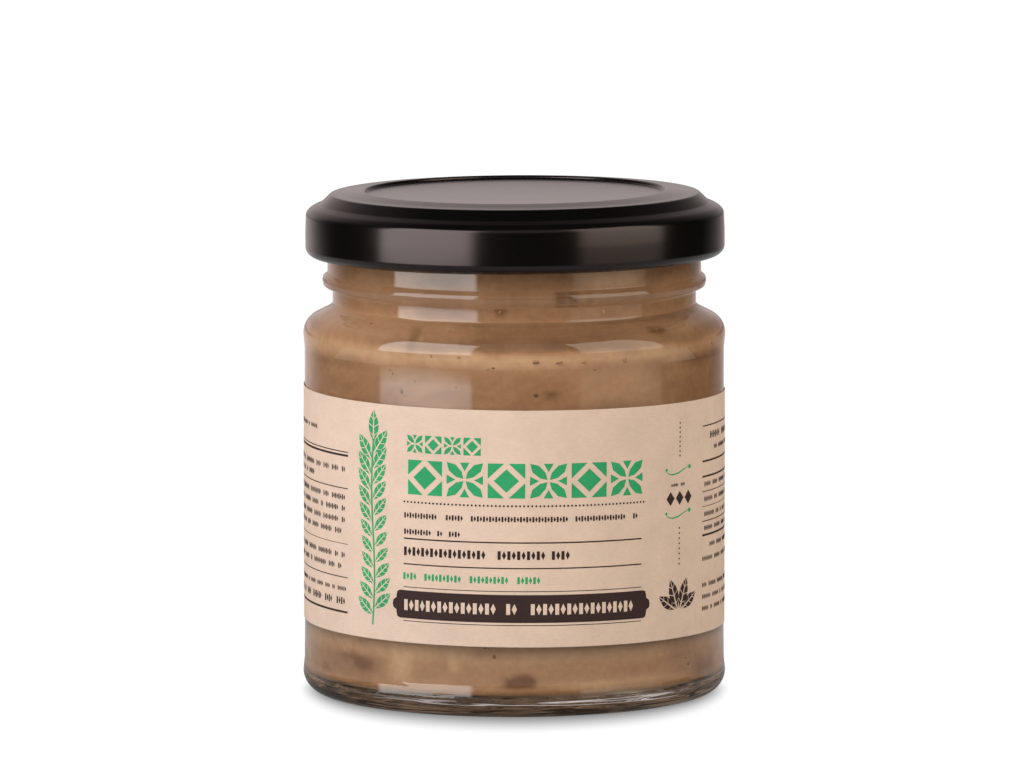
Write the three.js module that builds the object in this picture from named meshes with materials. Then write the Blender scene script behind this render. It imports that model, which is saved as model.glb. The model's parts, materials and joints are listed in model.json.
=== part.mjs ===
// A closed glass jar of baba ganoush: the clear jar, the aubergine puree that fills it, the paper
// label wrapped round it and the enamelled twist-off lid. Millimetres, +Z up. The origin is the
// centre of the ring the jar stands on, and -Y looks at the front of the label.
import * as THREE from 'three';

// Driving dimensions.
const FLATS = 48; // flats round every turned piece
const ARC_STEP = THREE.MathUtils.degToRad(37); // turn between two points of a rounded corner

const HEEL_R = 33.2; // widest ring, just above the foot
const HEEL_ROUNDING = 3.2;
const PANEL_R = 32.95; // straight panel that the label is stuck on
const SHOULDER_R = 33.12; // ridge above the panel
const NECK_R = 28.5; // waist between the shoulder and the bead
const BEAD_R = 30.12; // bead under the lid
const FINISH_R = 29.3; // neck inside the lid
const MOUTH_Z = 77.7; // top of the glass

const STAND_INNER_R = 27.2; // ring that touches the table
const PUNT_R = 25.6; // raised middle of the underside
const PUNT_EDGE_Z = 0.9;
const PUNT_Z = 1.9;

const WALL = 2.4; // glass thickness of the body
const FLOOR_Z = 3.05; // inside of the base, at the wall
const FLOOR_DOME = 0.5; // rise of the floor in the middle
const BORE_R = 26.7; // inside of the neck

const PUREE_TOP_Z = 71.6;
const PUREE_DOME = 0.7; // rise of the puree's surface in the middle
const CLEARANCE = 0.2; // between the puree and the glass

const LID_R = 32.87; // skirt
const LID_BOTTOM_Z = 68.8;
const LID_RIM_Z = 79.0; // inner edge of the raised ring, the highest line of the lid
const LID_PANEL_R = 23.55; // recessed middle
const LID_PANEL_Z = 78.48;
const LID_DISH = 0.34; // the panel is drawn in this far at its centre
const LID_SHEET = 0.35; // sheet with its enamel and lining
const CURL_WIDTH = 2.2; // rolled lower edge

const LABEL_BOTTOM_Z = 11.3; // at the middle of the front
const LABEL_HEIGHT = 36.76;
const LABEL_FLATS = 46; // of the jar's 48, which leaves the seam open at the back
const LABEL_INNER_R = 32.98;
const LABEL_OUTER_R = 33.1;
const LABEL_SLOPE = -0.0079; // the label was put on a little askew: its right side is lower

// One rounded corner: the points of the arc that is tangent to both sides of the corner.
function roundedCorner(before, corner, after, radius) {
  const back = before.clone().sub(corner).normalize();
  const on = after.clone().sub(corner).normalize();
  const half = Math.acos(THREE.MathUtils.clamp(back.dot(on), -1, 1)) / 2;
  const centre = back.clone().add(on).normalize().multiplyScalar(radius / Math.sin(half)).add(corner);
  const reach = radius / Math.tan(half);
  const start = back.multiplyScalar(reach).add(corner).sub(centre);
  const end = on.multiplyScalar(reach).add(corner).sub(centre);
  const turn = Math.atan2(start.cross(end), start.dot(end));
  const steps = Math.max(1, Math.round(Math.abs(turn) / ARC_STEP));
  return Array.from({ length: steps + 1 }, (_, i) =>
    start.clone().rotateAround(new THREE.Vector2(), (turn * i) / steps).add(centre));
}

// An outline through corners given as [radius, height, rounding]. Where one arc ends at the start
// of the next, the point they share is kept once.
function outline(corners) {
  const points = corners.map(([r, z]) => new THREE.Vector2(r, z));
  const all = corners.flatMap(([, , rounding = 0], i) =>
    rounding > 0 ? roundedCorner(points[i - 1], points[i], points[i + 1], rounding) : [points[i]]);
  return all.filter((point, i) => i === 0 || point.distanceTo(all[i - 1]) > 1e-6);
}

// The other face of a sheet that follows the corners: each corner moves square to both its sides,
// to the right of the way the outline runs, and its rounding keeps its centre. A corner on the
// axis stays on it.
function otherFace(corners, thickness) {
  const sides = corners.slice(1).map(([r, z], i) =>
    new THREE.Vector2(r - corners[i][0], z - corners[i][1]).normalize());
  return corners.map(([r, z, rounding = 0], i) => {
    const before = sides[Math.max(i - 1, 0)];
    const after = sides[Math.min(i, sides.length - 1)];
    const square = new THREE.Vector2(before.y + after.y, -before.x - after.x);
    square.multiplyScalar(thickness / (1 + before.dot(after)));
    const wider = Math.sign(before.cross(after)) * thickness;
    const moved = r === 0 ? 0 : r + square.x;
    return [moved, z + square.y, rounding > 0 ? Math.max(rounding + wider, 0.05) : 0];
  });
}

// A turned solid from an outline that starts and ends on the axis, underside first.
function turned(points) {
  return new THREE.LatheGeometry(points, FLATS).rotateX(Math.PI / 2);
}

function jarGeometry() {
  const outside = [
    [0, PUNT_Z],
    [PUNT_R, PUNT_EDGE_Z],
    [STAND_INNER_R, 0, 0.5],
    [HEEL_R, 0, HEEL_ROUNDING],
    [HEEL_R, 3.3],
    [HEEL_R - 0.2, 5.3],
    [PANEL_R, 12],
    [PANEL_R - 0.05, 54.3],
    [SHOULDER_R, 56.5],
    [SHOULDER_R, 58.5, 3.1],
    [29.2, 60.45],
    [NECK_R, 61.15, 0.6],
    [NECK_R, 63.3, 0.2],
    [BEAD_R - 0.17, 64.1, 0.35],
    [BEAD_R, 64.9],
    [BEAD_R - 0.14, 65.4],
    [FINISH_R, 66.05],
    [FINISH_R, MOUTH_Z, 0.9],
  ];
  const inside = [
    [BORE_R, MOUTH_Z, 0.9],
    [BORE_R, 62.9, 3],
    [BORE_R - 0.3, 60.8, 1.2],
    [PANEL_R - WALL, 57.4, 2.2],
    [PANEL_R - WALL, FLOOR_Z, 1.2],
    [0, FLOOR_Z + FLOOR_DOME],
  ];
  return turned(outline([...outside, ...inside]));
}

function pureeGeometry() {
  const wall = PANEL_R - WALL - CLEARANCE;
  const neck = BORE_R - CLEARANCE;
  return turned(outline([
    [0, FLOOR_Z + FLOOR_DOME + CLEARANCE],
    [wall, FLOOR_Z + CLEARANCE, 1],
    [wall, 57.3, 2.2],
    [neck - 0.3, 60.7, 1.2],
    [neck, 62.9, 3],
    [neck, PUREE_TOP_Z, 0.6],
    [0, PUREE_TOP_Z + PUREE_DOME],
  ]));
}

// A pressed sheet: a shallow dished panel, a raised ring round it, a sloping shoulder and a skirt
// whose lower edge is rolled inwards.
function lidGeometry() {
  const top = [
    [0, LID_PANEL_Z - LID_DISH],
    [LID_PANEL_R - 0.25, LID_PANEL_Z, 0.3],
    [LID_PANEL_R, LID_RIM_Z, 0.4],
    [27.2, 78.57],
    [28.9, 78.5, 0.7],
    [30.45, 77],
    [32.1, 76.3],
    [LID_R - 0.12, 75.55, 1.3],
    [LID_R, 72.9],
  ];
  const curl = [
    [LID_R, LID_BOTTOM_Z, 1.5],
    [LID_R - CURL_WIDTH, LID_BOTTOM_Z, 0.65],
    [LID_R - CURL_WIDTH, LID_BOTTOM_Z + CURL_WIDTH, 1],
  ];
  const skirtEnd = [LID_R, LID_BOTTOM_Z + CURL_WIDTH];
  const underside = otherFace([...top, skirtEnd], LID_SHEET).reverse();
  return turned(outline([...top, ...curl, ...underside]).reverse());
}

function labelGeometry() {
  const half = (Math.PI * LABEL_FLATS) / FLATS;
  const front = -Math.PI / 2;
  const strip = new THREE.Shape();
  strip.absarc(0, 0, LABEL_OUTER_R, front - half, front + half, false);
  strip.absarc(0, 0, LABEL_INNER_R, front + half, front - half, true);
  const paper = new THREE.ExtrudeGeometry(strip, {
    depth: LABEL_HEIGHT,
    bevelEnabled: false,
    curveSegments: LABEL_FLATS / 2,
  }).translate(0, 0, LABEL_BOTTOM_Z);
  const at = paper.getAttribute('position');
  for (let i = 0; i < at.count; i++) {
    const round = Math.atan2(at.getX(i), -at.getY(i)) * LABEL_OUTER_R;
    at.setZ(i, at.getZ(i) + LABEL_SLOPE * round);
  }
  return paper;
}

function piece(name, geometry, look) {
  const mesh = new THREE.Mesh(geometry, new THREE.MeshStandardMaterial(look));
  mesh.name = name;
  return mesh;
}

const group = new THREE.Group();
group.add(
  piece('jar', jarGeometry(), {
    color: '#e9f0ee', roughness: 0.04, metalness: 0, transparent: true, opacity: 0.35,
  }),
  piece('baba_ganoush', pureeGeometry(), { color: '#a17a57', roughness: 0.5, metalness: 0 }),
  piece('label', labelGeometry(), { color: '#e2c8ab', roughness: 0.8, metalness: 0 }),
  piece('lid', lidGeometry(), { color: '#14110f', roughness: 0.2, metalness: 0.2 }),
);

export default group;
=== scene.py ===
"""A closed glass jar of baba ganoush, with a wrapped paper label and a black twist-off lid.

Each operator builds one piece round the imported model's frame, and main() calls them in order.
Lengths in the tables are millimetres: (radius, height, rounding) for the corners of turned
pieces, and (along, up) on the flat label, measured from the middle of its lower edge.
"""
import json
import math
import random

import bmesh
import bpy
from bpy.props import FloatProperty, FloatVectorProperty, IntProperty, PointerProperty
from mathutils import Euler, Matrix, Quaternion, Vector, noise

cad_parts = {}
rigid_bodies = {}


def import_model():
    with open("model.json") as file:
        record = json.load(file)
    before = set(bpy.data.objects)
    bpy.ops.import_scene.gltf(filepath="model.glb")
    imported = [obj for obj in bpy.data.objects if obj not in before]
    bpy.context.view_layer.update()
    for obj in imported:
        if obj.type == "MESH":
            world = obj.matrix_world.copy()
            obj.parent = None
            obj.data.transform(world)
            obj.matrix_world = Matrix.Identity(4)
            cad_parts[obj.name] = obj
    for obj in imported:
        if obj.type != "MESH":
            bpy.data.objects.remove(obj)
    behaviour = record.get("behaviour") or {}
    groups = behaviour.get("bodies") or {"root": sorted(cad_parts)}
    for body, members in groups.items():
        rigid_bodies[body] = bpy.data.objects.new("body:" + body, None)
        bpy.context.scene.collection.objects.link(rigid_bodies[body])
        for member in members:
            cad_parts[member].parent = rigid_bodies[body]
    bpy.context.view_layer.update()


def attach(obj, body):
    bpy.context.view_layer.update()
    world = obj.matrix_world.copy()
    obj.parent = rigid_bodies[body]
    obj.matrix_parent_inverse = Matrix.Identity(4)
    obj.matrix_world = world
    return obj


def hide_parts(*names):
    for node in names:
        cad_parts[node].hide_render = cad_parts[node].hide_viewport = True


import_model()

bl_info = {
    "name": "Jar of Baba Ganoush",
    "version": (1, 0, 0),
    "blender": (4, 5, 0),
    "location": "View3D > Sidebar > Baba Ganoush",
    "description": "Builds a glass jar of baba ganoush with its label, its lid and a small studio",
    "category": "Object",
}

MM = 0.001

# Inside of the glass: straight up the body to the shoulder, and then the narrower neck.
BODY_BORE = 30.55
SHOULDER_BORE = 29.5
NECK_BORE = 26.7
SHOULDER_LOW, SHOULDER_HIGH = 57, 60.5

# Glass, from the middle of the raised base out, up the outside, and down the inside.
JAR_OUTSIDE = [
    (0, 1.9), (13, 1.75, 250), (25.6, 0.9, 1.0), (27.2, 0, 0.5), (33.2, 0, 3.2),
    (33.2, 3.3, 1.5), (33.0, 5.3, 3), (32.95, 12, 10), (32.9, 54.3, 1), (33.12, 56.5, 1.2),
    (33.1, 58.5, 3.3), (29.2, 60.45, 0.6), (28.5, 61.15, 0.6), (28.5, 63.3, 0.2),
    (29.95, 64.1, 0.35), (30.12, 64.9, 0.5), (29.98, 65.4, 0.3), (29.3, 66.05, 0.25),
    (29.3, 77.7, 0.9),
]
JAR_INSIDE = [
    (NECK_BORE, 77.7, 0.9), (NECK_BORE, 62.9, 3), (NECK_BORE - 0.3, 60.8, 1.2),
    (BODY_BORE, 57.4, 2.2), (BODY_BORE, 3.05, 1.2), (14, 3.4, 250), (0, 3.55),
]
JAR_FLATS = 256  # round the glass and the puree

# Lid: from the middle of the dished panel out to the skirt, then the rolled edge.
LID_TOP = [
    (0, 78.14), (14, 78.25, 90), (23.3, 78.48, 0.3), (23.55, 79.0, 0.4), (27.2, 78.57, 3),
    (28.9, 78.5, 0.7), (30.45, 77.0, 1.2), (32.1, 76.3, 3), (32.75, 75.55, 1.3),
    (32.87, 72.9, 8),
]
LID_CURL = [(32.87, 68.8, 1.5), (30.67, 68.8, 0.65), (30.67, 71.0, 1.0)]
LID_FLATS = 192
# The lid was screwed down a little askew: its turn about X and Y, in degrees, and where that
# leaves the middle of its skirt.
LID_ASKEW = (-0.22, -0.34)
LID_MIDDLE = (0.1, 0, 73)

# Where the puree is painted darker (+) or paler (-): all round the jar at a height, as (height,
# half height, amount), and in patches, as (azimuth in degrees, height, half width, half height,
# amount). Widths lie along a circle of this radius. Much of it is the puree's own tone, more
# roasted or richer in sesame paste, but some is painted light and shade. The darker bands round
# the neck and shoulder are painted shade under the lid. The pale band just under the shoulder's
# ridge is painted light, and so is the pale band under the label's lower edge, where the label
# shades the puree.
PATCH_RADIUS = 30.5
PUREE_BANDS = [
    (70.5, 2.6, 0.15), (66.0, 5.3, 0.42), (60.3, 0.5, 0.25), (58.35, 2.0, 0.68),
    (57.2, 0.7, 0.25), (55.75, 0.98, -0.42), (50.9, 4.0, 0.35), (10.3, 2.0, -0.5),
    (6.0, 3.0, 0.05),
]
NECK_PATCHES = [
    (33, 67.5, 6, 1.6, -0.8), (-24, 67.6, 4.5, 1.6, 0.3), (-25, 62.5, 4.5, 1.1, 0.5),
    (-8, 66, 8, 3.5, 0.15), (-4.6, 62.5, 1.0, 0.9, 0.6), (18.6, 64.6, 1.1, 0.5, 0.8),
    (14.5, 64.7, 0.8, 0.4, 0.6),
]
SHOULDER_PATCHES = [
    (10, 55.75, 30, 0.95, -0.3), (-62, 58.6, 14, 2.4, -0.85), (-27, 59.1, 6, 1.9, -0.4),
    (-60, 54.0, 8, 1.0, 0.3), (32, 57.0, 7, 1.0, -0.3), (68, 54.6, 9, 1.2, 0.6),
    (66, 57.8, 8, 1.3, -0.3), (52, 58.4, 8, 1.6, -0.35), (28, 51.2, 7, 2.6, -0.3),
    (75, 51, 14, 4, 0.1), (-68, 51, 9, 4, 0.05), (11, 50.2, 1.1, 0.7, 0.5),
    (46.6, 58.2, 1.7, 0.5, 0.9), (-30.5, 58.1, 0.8, 1.4, 0.5), (140, 54, 10, 2.5, 0.4),
    (-130, 52, 13, 3, 0.3),
]
FOOT_PATCHES = [
    (-58, 7.5, 10, 3.6, 0.5), (62, 7.5, 8, 3.4, 0.2), (2.4, 5.55, 2.4, 1.0, 1.5),
    (-55, 8.1, 2.2, 0.8, 0.5), (-48, 7.3, 1.8, 0.9, 0.6), (-66, 5.2, 1.6, 0.7, 0.4),
    (-7, 10.2, 2.6, 0.9, 0.4), (-33.5, 6.4, 2.5, 1.7, -0.5), (-34, 8.7, 1.7, 1.2, -0.35),
    (-17, 8.2, 0.9, 1.2, -0.6), (56, 9.2, 4, 1.4, 0.4), (68, 5.6, 3.5, 1.6, 0.5),
    (30, 5.0, 13, 0.7, -0.6), (-19, 7.5, 6, 2.2, 0.2), (165, 9, 8, 2, 0.5),
    (110, 7, 10, 2, -0.3),
]
# Larger flecks of roasted skin: (azimuth, height, radius, stretch).
LARGE_FLECKS = [
    (-37.5, 53.5, 0.2, 1.0), (-33.4, 50.3, 0.26, 1.4), (-16.7, 51.4, 0.22, 1.0),
    (6.0, 50.2, 0.26, 1.1), (6.0, 55.4, 0.45, 0.6), (12.8, 55.3, 0.38, 0.7),
    (19.9, 55.2, 0.32, 0.7), (32.7, 55.2, 0.3, 1.0), (-5.8, 54.5, 0.22, 0.7),
    (-4.6, 62.6, 0.25, 1.1), (-19.3, 59.6, 0.2, 3.2),
    (46.6, 58.3, 0.3, 0.5), (-8.3, 11.0, 0.32, 0.9), (-5.7, 9.6, 0.24, 1.5),
    (-48, 60.0, 0.25, 0.8), (30, 62.3, 0.25, 1.6), (58, 6.4, 0.26, 1.0),
]
# Heights between which small flecks lie, with a like share of them in each. None is under the
# label.
SMALL_FLECK_HEIGHTS = [(49, 57), (49, 57), (63.5, 69), (5.5, 11)]

# Label: the height of its lower edge, its own height, the radius that it is bent to, and how much
# of the way round it reaches, which leaves its seam open at the back.
LABEL_BOTTOM = 11.3
LABEL_HEIGHT = 36.76
LABEL_RADIUS = 33.08
LABEL_REACH = 46 / 48
LABEL_STAVE = 1.4  # width of the flat staves that the curve is made of
PRINT_LEFT, PRINT_RIGHT = -18, 20.8  # sides of the print in front

# Shadow on the table: where it begins and ends behind the jar, in millimetres from the jar's
# axis, and what the front adds to that. The backdrop is the brightest thing, so the shadow is
# longest and softest towards the camera.
SHADOW_BEGINS, SHADOW_BEGINS_FRONT = 29.7, -3.7
SHADOW_ENDS, SHADOW_ENDS_FRONT = 34.4, 14.6

# Camera: its place in metres, how far down it looks in radians, and its lens in millimetres. The
# jar stands a little left of the middle of the picture, by this many pixels of its width.
CAMERA_PLACE = (0, -1.5402, 0.23217)
CAMERA_TILT = 0.1192
CAMERA_LENS = 344.2
PICTURE_WIDTH = 1033
PICTURE_SHIFT = 2.2


# Sizes and colours that a user would change --------------------------------------------------

def linear(hex_code):
    """An sRGB hex value as a linear colour with full alpha."""
    parts = [int(hex_code[i:i + 2], 16) / 255 for i in (1, 3, 5)]
    return (*(p / 12.92 if p <= 0.04045 else ((p + 0.055) / 1.055) ** 2.4 for p in parts), 1.0)


def length(name, description, millimetres):
    """A length, kept in metres."""
    return FloatProperty(name=name, description=description, default=millimetres * MM,
                         min=0, precision=5, unit="LENGTH", subtype="DISTANCE")


def colour(name, description, hex_code):
    """A colour, kept linear."""
    return FloatVectorProperty(name=name, description=description, default=linear(hex_code),
                               size=4, min=0, max=1, subtype="COLOR")


def amount(name, description, value, most=1.0):
    """A plain number from nothing up to the most that makes sense."""
    return FloatProperty(name=name, description=description, default=value, min=0, max=most,
                         subtype="FACTOR" if most == 1.0 else "NONE")


class BabaGlass(bpy.types.PropertyGroup):
    """The jar's glass."""
    ior: FloatProperty(name="IOR", description="Refractive index of the glass", default=1.52,
                       min=1, max=2)
    tint: colour("Tint", "Colour of the light that comes through", "#F7FBF9")
    ripple: length("Ripple", "Depth of the waves that blowing leaves on the outside", 0.02)
    chill: amount("Chill streaks", "Depth of the streaks round the foot, in ripples", 8.0, 20)


class BabaPuree(bpy.types.PropertyGroup):
    """The aubergine puree."""
    reach: length("Reach", "How far the puree reaches into the glass, so that no gap shows", 0.16)
    level: length("Level", "Height of the puree's surface at the wall", 71.6)
    dome: length("Dome", "Rise of the surface in the middle", 0.7)
    pale: colour("Pale", "Puree rich in sesame paste", "#C39A74")
    middle: colour("Middle", "Well blended puree", "#A67A59")
    dark: colour("Dark", "Roasted part of the puree", "#704C33")
    skin: colour("Skin", "Flecks of roasted skin", "#A87C57")
    # Streaks painted on the floor of the jar: partly smears of puree, partly painted reflection in
    # the pale smears and painted shade in the dark gaps.
    smear_and_reflection: colour("Smear", "Thin smears on the floor of the jar", "#C3A48C")
    gap: colour("Gap", "Gaps between the smears", "#3F2B1D")
    flecks: IntProperty(name="Flecks", description="Small flecks of skin against the glass",
                        default=70, min=0)


class BabaLabel(bpy.types.PropertyGroup):
    """The wrapped label."""
    thickness: length("Thickness", "Paper and glue", 0.1)
    ink: length("Ink", "Height of the printed ink over the paper", 0.014)
    slope: FloatProperty(name="Slope", description="How far askew the label was put on",
                         default=0.0079, subtype="ANGLE", unit="ROTATION")
    paper: colour("Paper", "Uncoated natural paper", "#D6BCA9")
    green: colour("Green", "Green ink", "#2F9A62")
    dark: colour("Dark", "Dark brown ink", "#362624")


class BabaLid(bpy.types.PropertyGroup):
    """The lid."""
    sheet: length("Sheet", "Tinplate with its enamel and lining", 0.35)
    enamel: colour("Enamel", "Black enamel", "#090807")
    roughness: amount("Roughness", "Softness of the enamel's reflections", 0.19)


class BabaStudio(bpy.types.PropertyGroup):
    """The stage."""
    key: amount("Key", "Brightness of the left softbox", 4.4, 20)
    second: amount("Second", "Brightness of the right softbox", 2.5, 20)
    side: amount("Side", "Power of the fill from the right, in watts", 1.8, 100)
    fill: amount("Fill", "Power of the front fill, in watts", 1.2, 100)
    top: amount("Top", "Power of the top light, in watts", 0.5, 100)
    bounce: amount("Bounce", "How bright the table is for the jar, next to how it looks", 0.45)
    backdrop: colour("Backdrop", "Colour that the backdrop shows in reflections", "#DFD1CF")


# Modelling by operators ----------------------------------------------------------------------

def clear():
    """Leave edit mode and select nothing."""
    if bpy.context.object and bpy.context.object.mode != "OBJECT":
        bpy.ops.object.mode_set(mode="OBJECT")
    bpy.ops.object.select_all(action="DESELECT")


def activate(*pieces):
    """Select these pieces only, and make the first one active."""
    clear()
    for piece in pieces:
        piece.select_set(True)
    bpy.context.view_layer.objects.active = pieces[0]


def start(name):
    """Add an object at the origin with an empty mesh, in edit mode."""
    clear()
    bpy.ops.mesh.primitive_plane_add(size=MM, location=(0, 0, 0))
    piece = bpy.context.object
    piece.name = piece.data.name = name
    bpy.ops.object.mode_set(mode="EDIT")
    bpy.ops.mesh.select_mode(type="VERT")
    bpy.ops.mesh.delete(type="VERT")
    return piece


def chain(points):
    """In edit mode, extrude one vertex through the points, in metres."""
    bpy.ops.mesh.primitive_plane_add(size=MM, location=points[0])
    bpy.ops.mesh.merge(type="CENTER")
    for before, point in zip(points, points[1:]):
        bpy.ops.mesh.extrude_region_move(
            TRANSFORM_OT_translate={"value": Vector(point) - Vector(before)})


def select_faces(test):
    """In edit mode, select the faces that pass the test."""
    bpy.ops.mesh.select_mode(type="FACE")
    bpy.ops.mesh.select_all(action="DESELECT")
    for face in bmesh.from_edit_mesh(bpy.context.object.data).faces:
        if test(face):
            face.select_set(True)
    bmesh.update_edit_mesh(bpy.context.object.data)


def modify(piece, kind, **settings):
    """Add a modifier to a piece and apply it."""
    activate(piece)
    modifier = piece.modifiers.new(kind.lower(), kind)
    for key, value in settings.items():
        setattr(modifier, key, value)
    bpy.ops.object.modifier_apply(modifier=modifier.name)


def finished(piece, material, replaces=(), smooth=30):
    """Shade a piece, give it its material and let it ride on the jar's body."""
    activate(piece)
    bpy.ops.object.shade_smooth_by_angle(angle=math.radians(smooth))
    piece.data.materials.clear()
    piece.data.materials.append(material)
    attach(piece, "root")
    if replaces:
        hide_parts(*replaces)
    clear()


def rounded(corners, turn=math.radians(7)):
    """Points of an outline through (radius, height, rounding) corners, with one point for each
    turn of this many radians. Where two roundings would overlap, both shrink."""
    spots = [Vector(corner[:2]) for corner in corners]
    sides = [(b - a).length for a, b in zip(spots, spots[1:])]
    halves, reaches = {}, [0.0] * len(spots)
    for i, (_, _, *rounding) in enumerate(corners):
        if rounding:
            halves[i] = (spots[i - 1] - spots[i]).angle(spots[i + 1] - spots[i]) / 2
            reaches[i] = rounding[0] / math.tan(halves[i])
    points = []
    for i, corner in enumerate(spots):
        if i not in halves:
            points.append(corner)
            continue
        shrink = min(1, sides[i - 1] / (reaches[i - 1] + reaches[i]),
                     sides[i] / (reaches[i] + reaches[i + 1]))
        reach = reaches[i] * shrink
        radius = reach * math.tan(halves[i])
        back, on = (spots[i - 1] - corner).normalized(), (spots[i + 1] - corner).normalized()
        centre = corner + (back + on).normalized() * radius / math.sin(halves[i])
        first, last = corner + back * reach - centre, corner + on * reach - centre
        steps = max(1, math.ceil(first.angle(last) / turn))
        points += [centre + first.lerp(last, k / steps).normalized() * radius
                   for k in range(steps + 1)]
    return [p for i, p in enumerate(points) if i == 0 or (p - points[i - 1]).length > 1e-4]


def evened(points, most):
    """The same outline with no step longer than this."""
    fine = [points[0]]
    for before, point in zip(points, points[1:]):
        steps = max(1, math.ceil((point - before).length / most))
        fine += [before.lerp(point, k / steps) for k in range(1, steps + 1)]
    return fine


def offset(corners, distance):
    """The corners moved square to the outline, to the right of the way it runs."""
    sides = [(Vector(b[:2]) - Vector(a[:2])).normalized() for a, b in zip(corners, corners[1:])]
    moved = []
    for i, (r, z, *rounding) in enumerate(corners):
        before, after = sides[max(i - 1, 0)], sides[min(i, len(sides) - 1)]
        square = Vector((before.y + after.y, -before.x - after.x))
        square *= distance / (1 + before.dot(after))
        bend = before.x * after.y - before.y * after.x
        wider = [max(0.05, rounding[0] + math.copysign(distance, bend))] if rounding else []
        moved.append((0 if r == 0 else r + square.x, z + square.y, *wider))
    return moved


def turned(name, outline, steps):
    """Spin an outline, in millimetres, round the jar's axis into a closed shell."""
    piece = start(name)
    chain([(p.x * MM, 0, p.y * MM) for p in outline])
    bpy.ops.mesh.select_all(action="SELECT")
    bpy.ops.mesh.spin(steps=steps, angle=math.tau, center=(0, 0, 0), axis=(0, 0, 1))
    bpy.ops.mesh.select_all(action="SELECT")
    bpy.ops.mesh.remove_doubles(threshold=1e-7)
    bpy.ops.mesh.normals_make_consistent(inside=False)
    bpy.ops.object.mode_set(mode="OBJECT")
    return piece


# Materials -----------------------------------------------------------------------------------

# Sockets of a Mix node that mixes colours: its inputs, and its output.
SHARE, COLOUR_A, COLOUR_B, MIXED = 0, 6, 7, 2
# Nearly all of a noise lies between these values.
NOISE_RANGE = {"From Min": 0.3, "From Max": 0.7}
# Radius at which streaks round the foot have the length that is asked for.
FOOT_RADIUS = 30


def node(tree, kind, sockets=None, **settings):
    """Add a node, set its properties, and give each named socket a value or a link."""
    new = tree.nodes.new(kind)
    for key, value in settings.items():
        setattr(new, key, value)
    for key, value in (sockets or {}).items():
        if isinstance(value, bpy.types.NodeSocket):
            tree.links.new(value, new.inputs[key])
        else:
            new.inputs[key].default_value = value
    return new


def blank(owner):
    """Switch a material or a world to nodes, and return its empty node tree."""
    owner.use_nodes = True
    owner.node_tree.nodes.clear()
    return owner.node_tree


def surface(name, **sockets):
    """A new material, its node tree and its main shader with these values."""
    material = bpy.data.materials.new(name)
    tree = blank(material)
    shader = node(tree, "ShaderNodeBsdfPrincipled",
                  {key.replace("_", " "): value for key, value in sockets.items()})
    node(tree, "ShaderNodeOutputMaterial", {"Surface": shader.outputs[0]})
    return material, tree, shader


def per_mm(size):
    """Texture scale for features of this size in millimetres."""
    return 1 / (size * MM)


def polar(tree, place, long, wide):
    """A place as (azimuth, radius, height), scaled so that one unit is a streak this long and
    wide, in millimetres, round the foot."""
    parts = node(tree, "ShaderNodeSeparateXYZ", {0: place})
    front = node(tree, "ShaderNodeMath", {0: parts.outputs["Y"], 1: -1.0}, operation="MULTIPLY")
    azimuth = node(tree, "ShaderNodeMath", {0: parts.outputs["X"], 1: front.outputs[0]},
                   operation="ARCTAN2")
    flat = node(tree, "ShaderNodeVectorMath", {0: place, 1: (1, 1, 0)}, operation="MULTIPLY")
    radius = node(tree, "ShaderNodeVectorMath", {0: flat.outputs[0]}, operation="LENGTH")
    joined = node(tree, "ShaderNodeCombineXYZ", {
        0: azimuth.outputs[0], 1: radius.outputs["Value"], 2: parts.outputs["Z"]})
    return node(tree, "ShaderNodeMapping", {
        "Vector": joined.outputs[0],
        "Scale": (FOOT_RADIUS / long, per_mm(wide), per_mm(wide))}).outputs[0]


def soda_lime_glass(s):
    """Soda-lime container glass, blown in a mould and fire polished: clear and sharp, with the
    faint waves of blown glass, and chill streaks round the foot, where the mould cooled it first.
    Lamps and soft light reach what is inside straight through it."""
    material, tree, glass = surface(
        "soda_lime_glass", Base_Color=s.tint, IOR=s.ior, Roughness=0.0,
        Transmission_Weight=1.0)
    place = node(tree, "ShaderNodeTexCoord").outputs["Object"]
    waves = node(tree, "ShaderNodeTexNoise", {
        "Vector": place, "Scale": per_mm(14), "Detail": 1.0})
    streaks = node(tree, "ShaderNodeTexNoise", {
        "Vector": polar(tree, place, 11, 0.9), "Scale": 1.0, "Detail": 1.0})
    parts = node(tree, "ShaderNodeSeparateXYZ", {0: place})
    # The streaks fade out above the rounding of the foot.
    foot = node(tree, "ShaderNodeMapRange", {
        "Value": parts.outputs["Z"], "From Min": 4.6 * MM, "From Max": 2.8 * MM,
        "To Max": s.chill})
    height = node(tree, "ShaderNodeMath", {
        0: streaks.outputs["Fac"], 1: foot.outputs[0], 2: waves.outputs["Fac"]},
        operation="MULTIPLY_ADD")
    bump = node(tree, "ShaderNodeBump", {
        "Height": height.outputs[0], "Distance": s.ripple, "Strength": 1.0})
    tree.links.new(bump.outputs[0], glass.inputs["Normal"])
    path = node(tree, "ShaderNodeLightPath")
    through = node(tree, "ShaderNodeBsdfTransparent", {"Color": (0.93, 0.95, 0.94, 1)})
    for_lamps = node(tree, "ShaderNodeMixShader", {
        0: path.outputs["Is Shadow Ray"], 1: glass.outputs[0], 2: through.outputs[0]})
    for_light = node(tree, "ShaderNodeMixShader", {
        0: path.outputs["Is Diffuse Ray"], 1: for_lamps.outputs[0], 2: through.outputs[0]})
    out = tree.nodes["Material Output"]
    tree.links.new(for_light.outputs[0], out.inputs["Surface"])
    return material


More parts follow.
